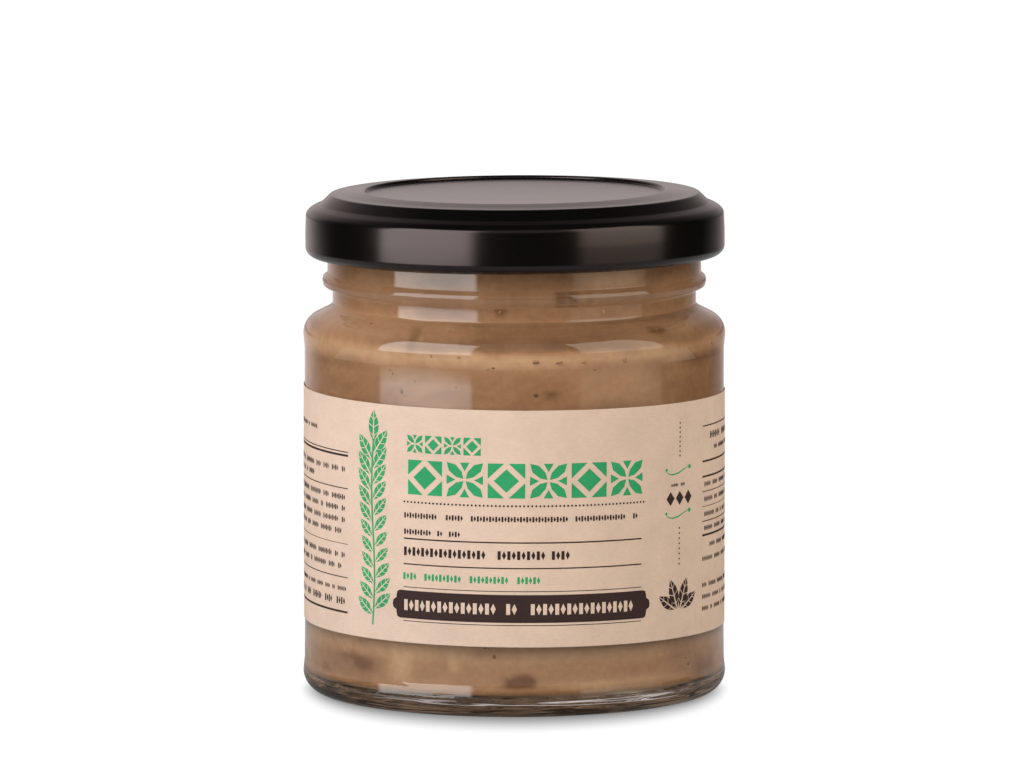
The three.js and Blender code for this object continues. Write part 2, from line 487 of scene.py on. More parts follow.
def floor_smears_and_reflections(s, tree, place):
    """Where the puree lies on the floor of the jar, inside its rounded edge, and its colour there:
    thin pale smears with dark gaps, which show through the glass of the foot as streaks. They are
    partly smears of puree, and partly painted reflection in the pale smears and painted shade in
    the dark gaps."""
    wide = 2.2
    round_floor = polar(tree, place, 20, wide)
    smears_and_reflections = node(tree, "ShaderNodeTexNoise", {
        "Vector": round_floor, "Scale": 1.0, "Detail": 2.0})
    smear_and_reflection = node(tree, "ShaderNodeMapRange", {
        "Value": smears_and_reflections.outputs["Fac"], "From Min": 0.43, "From Max": 0.6})
    tone = node(tree, "ShaderNodeMix", {
        SHARE: smear_and_reflection.outputs[0], COLOUR_A: s.gap, COLOUR_B: s.smear_and_reflection}, data_type="RGBA")
    parts = node(tree, "ShaderNodeSeparateXYZ", {0: round_floor})
    low = node(tree, "ShaderNodeMapRange", {
        "Value": parts.outputs["Z"], "From Min": 4.6 / wide, "From Max": 4.3 / wide})
    within = node(tree, "ShaderNodeMapRange", {
        "Value": parts.outputs["Y"], "From Min": 30.5 / wide, "From Max": 30.0 / wide})
    on_floor = node(tree, "ShaderNodeMath", {0: low.outputs[0], 1: within.outputs[0]},
                    operation="MULTIPLY")
    return on_floor.outputs[0], tone.outputs[MIXED]


def blended_puree(s):
    """Aubergine puree blended with sesame paste, wet against the glass: satin, with soft clouds of
    more and less roasted flesh, pale and dark patches and bands, and fine grains. Some of the
    bands are painted shade and painted light, not its own tone."""
    material, tree, shader = surface(
        "blended_aubergine_puree", Roughness=0.55, IOR=1.4, Specular_IOR_Level=0.15)
    place = node(tree, "ShaderNodeTexCoord").outputs["Object"]
    # How dark the puree is painted at each point: its own tone, with painted shade and painted
    # light in some bands.
    roast_shade_and_light = node(tree, "ShaderNodeAttribute", attribute_name="roast_shade_and_light").outputs["Fac"]
    # Clouds lie along the way the jar was filled, so they are wider than they are high.
    laid = node(tree, "ShaderNodeMapping", {"Vector": place, "Scale": (1, 1, 1.8)}).outputs[0]
    clouds = node(tree, "ShaderNodeTexNoise", {
        "Vector": laid, "Scale": per_mm(9), "Detail": 5.0, "Roughness": 0.6,
        "Distortion": 0.6})
    grains = node(tree, "ShaderNodeTexNoise", {
        "Vector": place, "Scale": per_mm(1.1), "Detail": 2.0, "Roughness": 0.6})
    cloud = node(tree, "ShaderNodeMapRange", {
        "Value": clouds.outputs["Fac"], **NOISE_RANGE, "To Min": -0.22, "To Max": 0.22})
    total = node(tree, "ShaderNodeMath", {0: roast_shade_and_light, 1: cloud.outputs[0]}).outputs[0]
    less = node(tree, "ShaderNodeMath", {0: total, 1: -1.0}, operation="MULTIPLY").outputs[0]
    pale = node(tree, "ShaderNodeMix", {
        SHARE: less, COLOUR_A: s.middle, COLOUR_B: s.pale}, data_type="RGBA")
    wall = node(tree, "ShaderNodeMix", {
        SHARE: total, COLOUR_A: pale.outputs[MIXED], COLOUR_B: s.dark}, data_type="RGBA")
    # On the floor of the jar, painted streaks: partly smears of puree, partly painted reflection
    # and painted shade.
    on_floor, smear_and_reflection_tone = floor_smears_and_reflections(s, tree, place)
    tone = node(tree, "ShaderNodeMix", {
        SHARE: on_floor, COLOUR_A: wall.outputs[MIXED], COLOUR_B: smear_and_reflection_tone}, data_type="RGBA")
    speck = node(tree, "ShaderNodeMapRange", {
        "Value": grains.outputs["Fac"], **NOISE_RANGE, "To Min": 0.92, "To Max": 1.06})
    grained = node(tree, "ShaderNodeMix", {
        SHARE: 1.0, COLOUR_A: tone.outputs[MIXED], COLOUR_B: speck.outputs[0]},
        data_type="RGBA", blend_type="MULTIPLY")
    tree.links.new(grained.outputs[MIXED], shader.inputs["Base Color"])
    bump = node(tree, "ShaderNodeBump", {
        "Height": grains.outputs["Fac"], "Distance": 0.05 * MM, "Strength": 0.6})
    tree.links.new(bump.outputs[0], shader.inputs["Normal"])
    return material


def roasted_skin(s):
    """Charred aubergine skin, chopped fine and moist: dark flecks, most of them clouded by
    the puree over them."""
    material, tree, shader = surface(
        "charred_aubergine_skin", Roughness=0.5, Specular_IOR_Level=0.2)
    place = node(tree, "ShaderNodeTexCoord").outputs["Object"]
    char = node(tree, "ShaderNodeTexNoise", {
        "Vector": place, "Scale": per_mm(4), "Detail": 3.0})
    share = node(tree, "ShaderNodeMapRange", {
        "Value": char.outputs["Fac"], "From Min": 0.35, "From Max": 0.6})
    tone = node(tree, "ShaderNodeMix", {
        SHARE: share.outputs[0], COLOUR_A: s.dark, COLOUR_B: s.skin}, data_type="RGBA")
    tree.links.new(tone.outputs[MIXED], shader.inputs["Base Color"])
    return material


def natural_paper(name, base, contrast=1.0):
    """Uncoated natural paper, machine made: matt, with soft clouds and fine fibres. Ink on it is
    a thin film, in which the paper's clouds show with more contrast."""
    material, tree, shader = surface(name, Roughness=0.85, Specular_IOR_Level=0.25)
    place = node(tree, "ShaderNodeTexCoord").outputs["Object"]
    clouds = node(tree, "ShaderNodeTexNoise", {
        "Vector": place, "Scale": per_mm(5), "Detail": 5.0, "Roughness": 0.65})
    along = node(tree, "ShaderNodeMapping", {"Vector": place, "Scale": (1, 1, 4)}).outputs[0]
    fibres = node(tree, "ShaderNodeTexNoise", {
        "Vector": along, "Scale": per_mm(0.8), "Detail": 3.0, "Roughness": 0.7})
    cloud = node(tree, "ShaderNodeMapRange", {
        "Value": clouds.outputs["Fac"], **NOISE_RANGE,
        "To Min": 1 - 0.07 * contrast, "To Max": 1 + 0.04 * contrast})
    fibre = node(tree, "ShaderNodeMapRange", {
        "Value": fibres.outputs["Fac"], **NOISE_RANGE,
        "To Min": 1 - 0.06 * contrast, "To Max": 1 + 0.04 * contrast})
    shade = node(tree, "ShaderNodeMath", {0: cloud.outputs[0], 1: fibre.outputs[0]},
                 operation="MULTIPLY")
    tone = node(tree, "ShaderNodeMix", {
        SHARE: 1.0, COLOUR_A: base, COLOUR_B: shade.outputs[0]},
        data_type="RGBA", blend_type="MULTIPLY")
    tree.links.new(tone.outputs[MIXED], shader.inputs["Base Color"])
    bump = node(tree, "ShaderNodeBump", {
        "Height": fibres.outputs["Fac"], "Distance": 0.02 * MM, "Strength": 0.7})
    tree.links.new(bump.outputs[0], shader.inputs["Normal"])
    return material


def stoved_enamel(s):
    """Black enamel, rolled on tinplate and stoved: glossy, its reflections softened by fine
    orange peel."""
    material, tree, shader = surface(
        "stoved_black_enamel", Base_Color=s.enamel, Roughness=s.roughness, IOR=1.5,
        Specular_Tint=(1.0, 0.8, 0.78, 1))
    place = node(tree, "ShaderNodeTexCoord").outputs["Object"]
    peel = node(tree, "ShaderNodeTexNoise", {
        "Vector": place, "Scale": per_mm(0.9), "Detail": 1.0})
    bump = node(tree, "ShaderNodeBump", {
        "Height": peel.outputs["Fac"], "Distance": 0.001 * MM, "Strength": 0.5})
    tree.links.new(bump.outputs[0], shader.inputs["Normal"])
    return material


# The jar -------------------------------------------------------------------------------------

class BABA_OT_jar(bpy.types.Operator):
    """Turn the glass jar, with its raised base, panel, shoulder, waist and bead."""
    bl_idname = "baba.jar"
    bl_label = "Glass jar"

    def execute(self, context):
        outline = evened(rounded(JAR_OUTSIDE + JAR_INSIDE), most=3)
        jar = turned("jar_glass", outline, JAR_FLATS)
        finished(jar, soda_lime_glass(context.scene.baba_glass), ["jar"])
        return {"FINISHED"}


def roast_shade_and_light(place):
    """How dark the puree is painted at a place, from -1 (pale) to 1 (dark): its own more and less
    roasted tone, and in some bands painted shade and painted light. The edges of its bands and
    patches wander, in waves of about 4 mm and 1.3 mm."""
    wander = noise.noise_vector(place / 4) + noise.noise_vector(place / 1.3) * 0.4
    turn = math.atan2(place.x, -place.y)
    height = place.z + 0.35 * wander.z
    total = sum(share * math.exp(-((height - middle) / half) ** 4)
                for middle, half, share in PUREE_BANDS)
    for azimuth, middle, wide, high, share in NECK_PATCHES + SHOULDER_PATCHES + FOOT_PATCHES:
        along = math.remainder(turn - math.radians(azimuth), math.tau) * PATCH_RADIUS
        away = along + 0.9 * wander.x
        total += share * math.exp(-(away / wide) ** 4 - ((height - middle) / high) ** 4)
    return max(-1, min(1, total))


class BABA_OT_puree(bpy.types.Operator):
    """Turn the puree that fills the jar, and give it the soft relief it has at the glass."""
    bl_idname = "baba.puree"
    bl_label = "Puree"

    def execute(self, context):
        s = context.scene.baba_puree
        level, dome, reach = s.level / MM, s.dome / MM, s.reach / MM
        brim = level + 0.3  # it clings to the glass a little higher than its surface
        inside = [corner for corner in reversed(JAR_INSIDE) if corner[1] < level]
        wall = offset([*inside, (NECK_BORE, brim)], reach)[:-1]
        top = [(NECK_BORE + reach, brim), (NECK_BORE - 1.2, level, 0.6),
               (12, level + dome * 0.8, 20), (0, level + dome)]
        # Its points lie close enough together to carry the bands and patches.
        puree = turned("puree_fill", evened(rounded(wall + top), most=0.75), JAR_FLATS)
        ripple = bpy.data.textures.new("puree_relief", "CLOUDS")
        ripple.noise_scale = 5 * MM
        modify(puree, "DISPLACE", texture=ripple, texture_coords="LOCAL", strength=0.12 * MM,
               mid_level=0.5)
        # Each point keeps how dark it is painted: its own tone, with painted shade and painted
        # light in some bands.
        tones = puree.data.attributes.new("roast_shade_and_light", "FLOAT", "POINT")
        for vertex, tone in zip(puree.data.vertices, tones.data):
            tone.value = roast_shade_and_light(vertex.co / MM)
        finished(puree, blended_puree(s), ["baba_ganoush"])
        return {"FINISHED"}


def bore(height):
    """Radius at which the puree meets the glass: on the body, the shoulder or the neck."""
    if height < SHOULDER_LOW:
        return BODY_BORE
    return SHOULDER_BORE if height < SHOULDER_HIGH else NECK_BORE


class BABA_OT_flecks(bpy.types.Operator):
    """Set flecks of roasted skin where the puree meets the glass."""
    bl_idname = "baba.flecks"
    bl_label = "Skin flecks"

    def execute(self, context):
        s = context.scene.baba_puree
        draw = random.Random(7)
        small = []
        for _ in range(s.flecks):
            low, high = draw.choice(SMALL_FLECK_HEIGHTS)
            small.append((draw.uniform(-180, 180), draw.uniform(low, high),
                          draw.uniform(0.07, 0.2), draw.uniform(0.6, 1.2)))
        flecks = start("roasted_skin_flecks")
        for azimuth, height, radius, stretch in LARGE_FLECKS + small:
            place = Vector((0, -(bore(height) + 0.2), height)) * MM
            place.rotate(Quaternion((0, 0, 1), math.radians(azimuth)))
            bpy.ops.mesh.primitive_ico_sphere_add(subdivisions=2, radius=radius * MM,
                                                  location=place)
            bpy.ops.transform.resize(value=(1, 1, stretch), center_override=place)
        bpy.ops.object.mode_set(mode="OBJECT")
        chopped = bpy.data.textures.new("chopped_skin", "CLOUDS")
        chopped.noise_scale = 0.35 * MM
        modify(flecks, "DISPLACE", texture=chopped, texture_coords="LOCAL",
               strength=0.3 * MM, mid_level=0.5)
        finished(flecks, roasted_skin(s), smooth=60)
        return {"FINISHED"}


class BABA_OT_lid(bpy.types.Operator):
    """Turn the pressed lid: dished panel, raised ring, sloping shoulder, skirt and curl."""
    bl_idname = "baba.lid"
    bl_label = "Lid"

    def execute(self, context):
        s = context.scene.baba_lid
        skirt_end = (LID_CURL[0][0], LID_CURL[-1][1])
        underside = offset([*LID_TOP, skirt_end], s.sheet / MM)[::-1]
        outline = rounded([*LID_TOP, *LID_CURL, *underside], turn=math.radians(6))
        lid = turned("lid_shell", evened(outline, most=2.5), LID_FLATS)
        middle = Vector(LID_MIDDLE) * MM
        turn = Euler((math.radians(LID_ASKEW[0]), math.radians(LID_ASKEW[1]), 0))
        lid.rotation_euler = turn
        lid.location = middle - turn.to_matrix() @ Vector((0, 0, middle.z))
        bpy.ops.object.transform_apply(location=True, rotation=True)
        finished(lid, stoved_enamel(s), ["lid"], smooth=40)
        return {"FINISHED"}


# The label -----------------------------------------------------------------------------------

CORNERS = ((1, 1), (1, -1), (-1, -1), (-1, 1))  # of a tile, as (along, up)
UNBROKEN = (20, 40)  # so many strokes and lozenges to a word that a row has no gap


def bar(left, right, low, high):
    """In edit mode, one rectangle of ink on the flat label."""
    at = ((left + right) / 2 * MM, 0, (low + high) / 2 * MM)
    bpy.ops.mesh.primitive_plane_add(size=MM, location=at, rotation=(math.pi / 2, 0, 0))
    bpy.ops.transform.resize(value=(right - left, 1, high - low), center_override=at)


def rule(left, right, up, thick):
    """A printed line whose middle is at this height."""
    bar(left, right, up - thick / 2, up + thick / 2)


def dot(along, up, width):
    """In edit mode, one round dot of ink on the flat label."""
    bpy.ops.mesh.primitive_circle_add(
        vertices=12, radius=width / 2 * MM, fill_type="NGON",
        location=(along * MM, 0, up * MM), rotation=(math.pi / 2, 0, 0))


def shape(points):
    """In edit mode, one filled shape from its corners on the flat label."""
    chain([(x * MM, 0, z * MM) for x, z in points])
    bpy.ops.mesh.select_linked()
    bpy.ops.mesh.edge_face_add()


def row(left, right, low, high, seed, word=(1, 5)):
    """A line of print: strokes and lozenges by turns, with a gap after every few. One stroke and
    one lozenge are drawn and copied, and the copies that fall in a gap are dropped."""
    size, middle = high - low, (low + high) / 2
    pitch = 1.12 * size
    bar(left, left + 0.36 * size, low, high)
    bpy.ops.mesh.hide(unselected=True)
    at = left + 0.74 * size
    shape([(at, high), (at + 0.24 * size, middle), (at, low), (at - 0.24 * size, middle)])
    count, total = 1, int((right - left + 0.2 * size) / pitch)
    while count < total:
        bpy.ops.mesh.select_all(action="SELECT")
        bpy.ops.mesh.duplicate_move(
            TRANSFORM_OT_translate={"value": (count * pitch * MM, 0, 0)})
        count *= 2
    draw = random.Random(seed)
    gaps, at = set(), draw.randint(*word)
    while at < total - 1:
        gaps.add(at)
        at += 1 + draw.randint(*word)

    def dropped(face):
        i = math.floor((face.calc_center_median().x / MM - left) / pitch)
        return not face.hide and (i >= total or i in gaps)

    select_faces(dropped)
    bpy.ops.mesh.delete(type="FACE")
    bpy.ops.mesh.reveal(select=False)
    bpy.ops.mesh.select_mode(type="VERT")


def tile(along, up, width, height, petals):
    """A printer's ornament: a quilted square, or four petals."""
    def at(x, z):
        return along + x * width / 2, up + z * height / 2

    if petals:
        petal = [(0.06, 0.06), (0.16, 0.46), (0.5, 0.86), (0.98, 0.98), (0.86, 0.5),
                 (0.46, 0.16)]
        for sx, sz in CORNERS:
            shape([at(sx * x, sz * z) for x, z in petal])
        for x, z in ((1, 0), (-1, 0), (0, 1), (0, -1)):
            shape([at(x * 0.98 + z * 0.26, z * 0.98 + x * 0.26), at(x * 0.5, z * 0.5),
                   at(x * 0.98 - z * 0.26, z * 0.98 - x * 0.26)])
    else:
        shape([at(0.66, 0), at(0, 0.66), at(-0.66, 0), at(0, -0.66)])
        for sx, sz in CORNERS:
            shape([at(sx * 0.98, sz * 0.98), at(sx * 0.98, sz * 0.12), at(sx * 0.12, sz * 0.98)])


def leaf(along, up, size, lean):
    """An engraved leaf: two halves either side of the rib, each cut into by its veins. It leans
    by this many degrees to the right."""
    turn = math.radians(lean)
    across = Vector((math.cos(turn), -math.sin(turn)))
    onward = Vector((math.sin(turn), math.cos(turn)))

    def width(t):
        return 0.21 * math.sin(math.pi * t ** 0.85) * size

    for side in (1, -1):
        for first, last in ((0.0, 0.24), (0.27, 0.5), (0.53, 0.75), (0.78, 1.0)):
            steps = [first + (last - first) * k / 3 for k in range(4)]
            rib = [Vector((0.035 * size * (1 - t * 0.6), max(0, t - 0.06) * size))
                   for t in steps]
            edge = [Vector((max(width(t), 0.036 * size),
                            (t + 0.05 * math.sin(math.pi * t)) * size)) for t in steps]
            shape([(along + side * p.x * across.x + p.y * onward.x,
                    up + side * p.x * across.y + p.y * onward.y)
                   for p in rib + edge[::-1]])


def sprig():
    """A herb sprig up the label: a wavy stem with a pair of leaves at each joint."""
    joints, rise, half_stem = 12, 2.42, 0.16
    stem = [(-24.0 + 0.35 * math.sin(k / joints * math.tau), 2.2 + k * rise)
            for k in range(joints + 1)]
    left = [(x - half_stem, z) for x, z in stem]
    right = [(x + half_stem, z) for x, z in reversed(stem)]
    shape(left + right)
    for k in range(1, joints):
        x, z = stem[k]
        size = 3.3 + 1.4 * abs(k - 4.5) / 7
        for side in (-1, 1):
            leaf(x + side * 0.25, z - 0.3 + 0.5 * side, size, side * (52 - 1.5 * k))
    leaf(stem[-1][0], stem[-1][1] - 0.4, 4.9, 0)


def flourish(along, up):
    """A small calligraphic stroke with a dot at each end."""
    path = [(0, 0.3), (0.5, -0.1), (1.4, -0.35), (2.8, -0.2), (4.2, 0.3), (5.4, 0.75)]
    shape([(along + x, up + z) for x, z in path]
          + [(along + x, up + z + 0.1 + 0.14 * math.sin(math.pi * x / 5.4))
             for x, z in reversed(path)])
    dot(along + 0.05, up + 0.55, 0.5)
    dot(along + 5.75, up + 0.7, 0.7)


def green_print():
    """Two rows of ornaments, a line of print, two flourishes and the sprig."""
    for i in range(6):
        tile(-14.45 + 6.52 * i, 25.85, 5.9, 5.5, i % 2)
    for i in range(4):
        tile(-16.2 + 3.14 * i, 31.05, 2.8, 2.8, (i + 1) % 2)
    row(PRINT_LEFT - 0.1, 5.0, 9.85, 10.95, 3)
    flourish(26.0, 25.9)
    flourish(26.0, 19.1)
    sprig()


def banner():
    """The dark field with bracket ends."""
    left, right, low, high, tip = -19.3, 21.9, 3.8, 8.15, 0.75
    middle = (low + high) / 2
    half = [(right - 0.6, high), (right - 0.15, high - 0.2), (right, high - 0.7),
            (right + 0.05, middle + 0.95), (right + tip - 0.15, middle + 0.6),
            (right + tip, middle)]
    right_side = half + [(x, 2 * middle - z) for x, z in reversed(half[:-1])]
    shape(right_side + [(left + right - x, 2 * middle - z) for x, z in right_side])


def fine_line(left, right, up, high, seed, word=(1, 5)):
    """A row of print whose middle is at this height."""
    row(left, right, up - high / 2, up + high / 2, seed, word)


def small_print():
    """Columns of fine print and rules at both sides, which run on round the jar."""
    for up, thick in ((28.5, 0.16), (27.95, 0.34), (22.8, 0.16), (14.1, 0.1), (8.85, 0.16),
                      (3.4, 0.34)):
        rule(-69, -29.8, up, thick)
    lines = ((31.5, -39, 0.7), (25.8, -29.9, 0.85), (24.2, -40.2, 0.85), (21.4, -30, 0.85),
             (19.65, -30, 0.85), (17.85, -30, 0.85), (16.05, -30.6, 0.85), (12.35, -30.1, 0.85),
             (10.55, -30.6, 0.85), (7.05, -30.1, 0.7), (5.1, -30.4, 1.1))
    for i, (up, end, high) in enumerate(lines):
        fine_line(-68.5, end, up, high, 30 + i)
    for up, thick in ((32.45, 0.2), (26.9, 0.3), (24.5, 0.3), (22.15, 0.14), (19.8, 0.1),
                      (17.5, 0.16), (15.3, 0.34)):
        rule(35.8, 73, up, thick)
    row(38.6, 62, 30.3, 31.4, 50)
    row(40.4, 60, 28.5, 29.2, 51)
    for i, up in enumerate((23.3, 20.95, 18.6, 16.4)):
        fine_line(36.5, 50, up, 0.74, 60 + i)
        fine_line(60, 71, up, 0.74, 70 + i, (1, 3))
    for i, (up, begin) in enumerate(((13.7, 38.6), (11.6, 35.9), (7.5, 35.9), (5.65, 35.9),
                                     (3.8, 35.9))):
        fine_line(begin, 72 - 2 * i, up, 0.72, 80 + i)


def dark_print():
    """Lines of print between rules, the dark field, the small emblems and the fine print."""
    for i in range(64):
        dot(PRINT_LEFT + 0.624 * i, 21.95, 0.33)
    for left, right in ((PRINT_LEFT, -11.8), (-10.9, -7.9), (-6.9, 8.6), (9.4, 18.4),
                        (19.3, PRINT_RIGHT)):
        row(left, right, 19.45, 20.3, 5, UNBROKEN)
    row(PRINT_LEFT, -8.6, 16.9, 17.75, 6)
    for up, thick in ((16.25, 0.22), (12.27, 0.2), (8.68, 0.12), (3.4, 0.12)):
        rule(PRINT_LEFT - 0.05, PRINT_RIGHT + 0.15, up, thick)
    for left, right in ((PRINT_LEFT, -3.5), (-2.7, 4.9), (5.7, 8.9), (9.7, 10.8)):
        row(left, right, 13.6, 14.95, 8, UNBROKEN)
    banner()
    for i in range(8):
        dot(29.2, 28.5 + 0.73 * i, 0.32)
        dot(29.15, 11.6 + 0.8 * i, 0.32)
    for i in range(3):
        x = 27.0 + 2.2 * i
        shape([(x - 0.95, 21.9), (x, 20.8), (x + 0.95, 21.9), (x, 23.0)])
    for lean, size in ((-58, 4.2), (-20, 5.0), (20, 5.0), (58, 4.2)):
        leaf(29.1 + lean / 60, 4.6, size, lean)
    row(27.2, 31.0, 23.75, 24.25, 11, (2, 4))
    small_print()


def pale_print():
    """Bare paper inside the dark field: one more line of print."""
    for left, right in ((PRINT_LEFT + 0.1, -2.4), (-1.3, 1.4), (2.5, PRINT_RIGHT)):
        row(left, right, 5.05, 6.75, 9, UNBROKEN)


def wrap(sheet):
    """Cut the flat sheet into upright staves and bend it round the jar."""
    bpy.ops.object.mode_set(mode="EDIT")
    select_faces(lambda face: face.normal.y > 0)
    bpy.ops.mesh.flip_normals()
    stave = LABEL_STAVE * MM
    count = math.floor(sheet.dimensions.x / 2 / stave)
    for i in range(-count, count + 1):
        bpy.ops.mesh.select_all(action="SELECT")
        bpy.ops.mesh.bisect(plane_co=(i * stave, 0, 0), plane_no=(1, 0, 0))
    bpy.ops.object.mode_set(mode="OBJECT")
    modify(sheet, "SIMPLE_DEFORM", deform_method="BEND", deform_axis="Z",
           angle=sheet.dimensions.x / (LABEL_RADIUS * MM))
    sheet.location.y = -LABEL_RADIUS * MM
    bpy.ops.object.transform_apply()


def parted(sheet):
    """Part a sheet into one piece for each material, and return them by the material's name."""
    activate(sheet)
    bpy.ops.object.mode_set(mode="EDIT")
    bpy.ops.mesh.separate(type="MATERIAL")
    bpy.ops.object.mode_set(mode="OBJECT")
    return {piece.material_slots[piece.data.polygons[0].material_index].name: piece
            for piece in bpy.context.selected_objects}


class BABA_OT_label(bpy.types.Operator):
    """Cut and print the label flat, then wrap it round the jar and give paper and inks depth."""
    bl_idname = "baba.label"
    bl_label = "Label"

    def execute(self, context):
        s = context.scene.baba_label
        half = LABEL_RADIUS * math.pi * LABEL_REACH
        # Each layer: its piece, its material, what draws it, and where it lies on the paper.
        layers = (
            ("label_paper", natural_paper("uncoated_natural_paper", s.paper),
             lambda: bar(-half, half, 0, LABEL_HEIGHT), (-s.thickness, 0)),
            ("label_green_print", natural_paper("green_ink_on_paper", s.green, 1.6),
             green_print, (-s.ink, s.ink)),
            ("label_dark_print", natural_paper("dark_brown_ink_on_paper", s.dark, 1.6),
             dark_print, (-s.ink, s.ink)),
            ("label_pale_print", natural_paper("bare_paper_left_in_print", s.paper),
             pale_print, (0, s.ink * 1.7)))
        sheets = []
        for name, material, draw, _ in layers:
            sheets.append(start(name))
            sheets[-1].data.materials.append(material)
            draw()
        activate(*sheets)
        bpy.ops.object.join()
        sheet = context.object
        sheet.name = sheet.data.name = "printed_sheet"
        sheet.location.z = LABEL_BOTTOM * MM
        sheet.rotation_euler.y = s.slope
        bpy.ops.object.transform_apply()

        wrap(sheet)
        pieces = parted(sheet)
        for name, material, _, (inner, outer) in layers:
            piece = pieces[material.name]
            piece.name = piece.data.name = name
            thickness = outer - inner
            modify(piece, "SOLIDIFY", thickness=thickness, offset=(inner + outer) / thickness)
            paper = name == "label_paper"
            finished(piece, material, ["label"] if paper else ())
        return {"FINISHED"}


# The stage -----------------------------------------------------------------------------------

JAR_MIDDLE = Vector((0, 0, 0.04))  # in metres; the lamps point at it


def feathered_cloth(name, width, low, high, brightness, foot, tint):
    """White diffuser cloth of a softbox, lit from behind: even light that fades at its edges, so
    that its reflections in glass and enamel have soft borders."""
    feather, foot_from, foot_to = 0.045, 0.02, 0.09
    material = bpy.data.materials.new(name)
    tree = blank(material)
    place = node(tree, "ShaderNodeTexCoord").outputs["Object"]
    parts = node(tree, "ShaderNodeSeparateXYZ", {0: place})
    strength = node(tree, "ShaderNodeMapRange", {
        "Value": parts.outputs["Y"], "From Min": (foot_from - low) / (high - low) - 0.5,
        "From Max": (foot_to - low) / (high - low) - 0.5, "To Min": brightness * foot,
        "To Max": brightness}, interpolation_type="SMOOTHSTEP").outputs[0]
    for axis, size in (("X", width), ("Y", high - low)):
        far = node(tree, "ShaderNodeMath", {0: parts.outputs[axis]}, operation="ABSOLUTE")
        fade = node(tree, "ShaderNodeMapRange", {
            "Value": far.outputs[0], "From Min": 0.5 - feather / size, "From Max": 0.5,
            "To Min": 1.0, "To Max": 0.0}, interpolation_type="SMOOTHSTEP")
        strength = node(tree, "ShaderNodeMath", {0: strength, 1: fade.outputs[0]},
                        operation="MULTIPLY").outputs[0]
    glow = node(tree, "ShaderNodeEmission", {"Color": tint, "Strength": strength})
    node(tree, "ShaderNodeOutputMaterial", {"Surface": glow.outputs[0]})
    return material


def softbox(name, azimuth, distance, width, low, high, brightness, foot=1.0,
            tint=(1, 1, 1, 1)):
    """A soft light panel that faces the jar, in metres. Azimuth is from the camera's side,
    positive to the right. Foot is how bright its lowest part is next to the rest."""
    turn = math.radians(azimuth)
    clear()
    bpy.ops.mesh.primitive_grid_add(
        x_subdivisions=2, y_subdivisions=2, size=1,
        location=(distance * math.sin(turn), -distance * math.cos(turn), (low + high) / 2),
        rotation=(math.pi / 2, 0, turn))
    panel = bpy.context.object
    panel.name = name
    panel.scale = (width, high - low, 1)
    panel.data.materials.append(
        feathered_cloth(name + "_cloth", width, low, high, brightness, foot, tint))
    panel.visible_camera = False
    panel.visible_shadow = False


def lamp(name, place, size, power, mirrored=False):
    """An area light that faces the jar, with its place and size in metres. Unless it is to be
    mirrored, it only lights."""
    clear()
    bpy.ops.object.light_add(type="AREA", location=place)
    light = bpy.context.object
    light.name = name
    light.data.size = size
    light.data.energy = power
    light.rotation_mode = "QUATERNION"
    light.rotation_quaternion = (Vector(place) - JAR_MIDDLE).to_track_quat("Z", "Y")
    light.visible_glossy = mirrored
    light.visible_transmission = light.visible_camera = False


def shadow(tree, place):
    """Brightness of the table for the camera: from dark at the jar's foot out to white."""
    flat = node(tree, "ShaderNodeVectorMath", {
        0: place, 1: (per_mm(1), per_mm(1), 0)}, operation="MULTIPLY")
    away = node(tree, "ShaderNodeVectorMath", {0: flat.outputs[0]}, operation="LENGTH")
    toward = node(tree, "ShaderNodeVectorMath", {0: flat.outputs[0]}, operation="NORMALIZE")
    facing = node(tree, "ShaderNodeVectorMath", {
        0: toward.outputs[0], 1: (0, -1, 0)}, operation="DOT_PRODUCT")
    ahead = node(tree, "ShaderNodeMath", {
        0: facing.outputs["Value"], 1: 0.0}, operation="MAXIMUM")
    in_front = node(tree, "ShaderNodeMath", {0: ahead.outputs[0], 1: 2.4}, operation="POWER")
    begins, ends = (
        node(tree, "ShaderNodeMath", {0: in_front.outputs[0], 1: more, 2: behind},
             operation="MULTIPLY_ADD")
        for more, behind in ((SHADOW_BEGINS_FRONT, SHADOW_BEGINS),
                             (SHADOW_ENDS_FRONT, SHADOW_ENDS)))
    return node(tree, "ShaderNodeMapRange", {
        "Value": away.outputs["Value"], "From Min": begins.outputs[0],
        "From Max": ends.outputs[0], "To Min": 0.2, "To Max": 1.02},
        interpolation_type="SMOOTHSTEP").outputs[0]


def bounced(tree, place, brightness):
    """Brightness of the table for the jar: dark round its foot, and most of all in front."""
    from_middle = node(tree, "ShaderNodeMapping", {
        "Vector": place, "Location": (0, 8.3, 0), "Scale": (per_mm(1), per_mm(1), 0)})
    far = node(tree, "ShaderNodeVectorMath", {0: from_middle.outputs[0]}, operation="LENGTH")
    return node(tree, "ShaderNodeMapRange", {
        "Value": far.outputs["Value"], "From Min": 22.0, "From Max": 75.0,
        "To Min": 0.2 * brightness, "To Max": brightness}).outputs[0]


def caustics(tree, place):
    """Colour of the light on the table: under the jar, where it comes down through glass and
    puree, it lies in grey and brown rings, and outside it is white."""
    rings = node(tree, "ShaderNodeTexNoise", {
        "Vector": polar(tree, place, 14, 1.3), "Scale": 1.0, "Detail": 2.0})
    light = node(tree, "ShaderNodeMapRange", {
        "Value": rings.outputs["Fac"], "From Min": 0.4, "From Max": 0.62})
    under = node(tree, "ShaderNodeMix", {
        SHARE: light.outputs[0], COLOUR_A: (2.3, 1.6, 1.1, 1), COLOUR_B: (6.5, 5.9, 5.3, 1)},
        data_type="RGBA")
    from_axis = node(tree, "ShaderNodeVectorMath", {0: place}, operation="LENGTH")
    outside = node(tree, "ShaderNodeMapRange", {
        "Value": from_axis.outputs["Value"], "From Min": 26 * MM, "From Max": 30 * MM})
    return node(tree, "ShaderNodeMix", {
        SHARE: outside.outputs[0], COLOUR_A: under.outputs[MIXED], COLOUR_B: (1, 1, 1, 1)},
        data_type="RGBA").outputs[MIXED]


